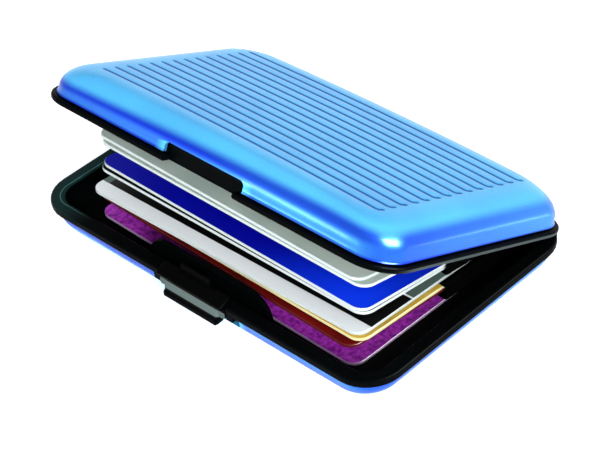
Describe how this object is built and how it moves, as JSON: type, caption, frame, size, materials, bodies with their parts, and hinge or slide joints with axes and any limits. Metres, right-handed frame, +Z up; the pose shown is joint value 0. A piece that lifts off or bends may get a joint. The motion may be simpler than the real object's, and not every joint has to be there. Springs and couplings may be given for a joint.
{
  "type": "aluminium card holder",
  "caption": "Clamshell aluminium card holder with a ribbed lid, a black frame with a press latch, and cards fanned out in a folding row of pockets.",
  "frame": {"origin": "centre of the flat underside that the closed or open case rests on", "axes": "+X along the length of the case, +Y from the latch to the hinge, +Z up"},
  "size_m": [0.109, 0.0709, 0.0433],
  "materials": {
    "blue_aluminium": "satin anodised blue",
    "black_frame": "fine moulded satin",
    "black_button": "fine moulded satin",
    "black_leaf": "thin satin sheet",
    "steel_pin": "drawn wire",
    "purple_card": "laminated card",
    "red_card": "laminated card",
    "yellow_card": "laminated card",
    "stripe_card": "laminated card",
    "black_card": "laminated card",
    "blue_card": "laminated card",
    "white_card": "laminated card",
    "silver_card": "laminated card"
  },
  "bodies": {
    "base": {"bottom_shell": "blue_aluminium", "bottom_frame": "black_frame", "pocket_floor": "black_leaf", "hinge_pin": "steel_pin", "latch_pin": "steel_pin"},
    "lid": {"top_shell": "blue_aluminium", "top_frame": "black_frame", "pocket_roof": "black_leaf"},
    "latch_button": {"latch_button": "black_button"},
    "pocket_leaf_1": {"pocket_leaf_1": "black_leaf"},
    "pocket_leaf_2": {"pocket_leaf_2": "black_leaf"},
    "pocket_leaf_3": {"pocket_leaf_3": "black_leaf"},
    "pocket_leaf_4": {"pocket_leaf_4": "black_leaf"},
    "pocket_leaf_5": {"pocket_leaf_5": "black_leaf"},
    "purple_card": {"purple_card": "purple_card"},
    "red_card": {"red_card": "red_card"},
    "yellow_card": {"yellow_card": "yellow_card"},
    "stripe_card": {"stripe_card": "stripe_card"},
    "black_card": {"black_card": "black_card"},
    "blue_card": {"blue_card": "blue_card"},
    "white_card": {"white_card": "white_card"},
    "silver_card": {"silver_card": "silver_card"}
  },
  "joints": [
    {"name": "lid_hinge", "type": "hinge", "parent": "base", "child": "lid", "pos_m": [0, 0.0323, 0.00945], "axis": [-1, 0, 0], "range_deg": [-23.9, 16.1]},
    {"name": "latch_press", "type": "hinge", "parent": "base", "child": "latch_button", "pos_m": [0, -0.0332, 0.0074], "axis": [1, 0, 0], "range_deg": [0, 10], "stiffness_Nm_per_rad": 0.05},
    {"name": "leaf_1_fold", "type": "hinge", "parent": "base", "child": "pocket_leaf_1", "pos_m": [0, 0.0297, 0.00465], "axis": [-1, 0, 0], "range_deg": [-4.05, 2.75]},
    {"name": "leaf_2_fold", "type": "hinge", "parent": "pocket_leaf_1", "child": "pocket_leaf_2", "pos_m": [0, 0.02991, 0.00759], "axis": [-1, 0, 0], "range_deg": [-0.85, 0.59]},
    {"name": "leaf_3_fold", "type": "hinge", "parent": "pocket_leaf_2", "child": "pocket_leaf_3", "pos_m": [0, 0.03006, 0.00944], "axis": [-1, 0, 0], "range_deg": [-3.25, 2.21]},
    {"name": "leaf_4_fold", "type": "hinge", "parent": "pocket_leaf_3", "child": "pocket_leaf_4", "pos_m": [0, 0.03047, 0.01236], "axis": [-1, 0, 0], "range_deg": [-4.15, 2.81]},
    {"name": "leaf_5_fold", "type": "hinge", "parent": "pocket_leaf_4", "child": "pocket_leaf_5", "pos_m": [0, 0.03109, 0.01525], "axis": [-1, 0, 0], "range_deg": [-3.55, 2.41]},
    {"name": "purple_card_slide", "type": "slide", "parent": "base", "child": "purple_card", "axis": [0, -1, 0], "range_m": [0, 0.002]},
    {"name": "red_card_slide", "type": "slide", "parent": "pocket_leaf_1", "child": "red_card", "axis": [0, -0.9976, 0.0698], "range_m": [0, 0.0018]},
    {"name": "yellow_card_slide", "type": "slide", "parent": "pocket_leaf_1", "child": "yellow_card", "axis": [0, -0.9976, 0.0698], "range_m": [0, 0.0025]},
    {"name": "stripe_card_slide", "type": "slide", "parent": "pocket_leaf_2", "child": "stripe_card", "axis": [0, -0.9965, 0.0837], "range_m": [0, 0.03]},
    {"name": "black_card_slide", "type": "slide", "parent": "pocket_leaf_3", "child": "black_card", "axis": [0, -0.9903, 0.1392], "range_m": [0, 0.03]},
    {"name": "blue_card_slide", "type": "slide", "parent": "pocket_leaf_3", "child": "blue_card", "axis": [0, -0.9903, 0.1392], "range_m": [0, 0.03]},
    {"name": "white_card_slide", "type": "slide", "parent": "pocket_leaf_4", "child": "white_card", "axis": [0, -0.9778, 0.2096], "range_m": [0, 0.03]},
    {"name": "silver_card_slide", "type": "slide", "parent": "pocket_leaf_4", "child": "silver_card", "axis": [0, -0.9778, 0.2096], "range_m": [0, 0.03]}
  ],
  "couplings": [
    {"joint": "leaf_1_fold", "follows": "lid_hinge", "ratio": 0.16736},
    {"joint": "leaf_2_fold", "follows": "lid_hinge", "ratio": 0.033473},
    {"joint": "leaf_3_fold", "follows": "lid_hinge", "ratio": 0.13389},
    {"joint": "leaf_4_fold", "follows": "lid_hinge", "ratio": 0.17155},
    {"joint": "leaf_5_fold", "follows": "lid_hinge", "ratio": 0.14644}
  ]
}
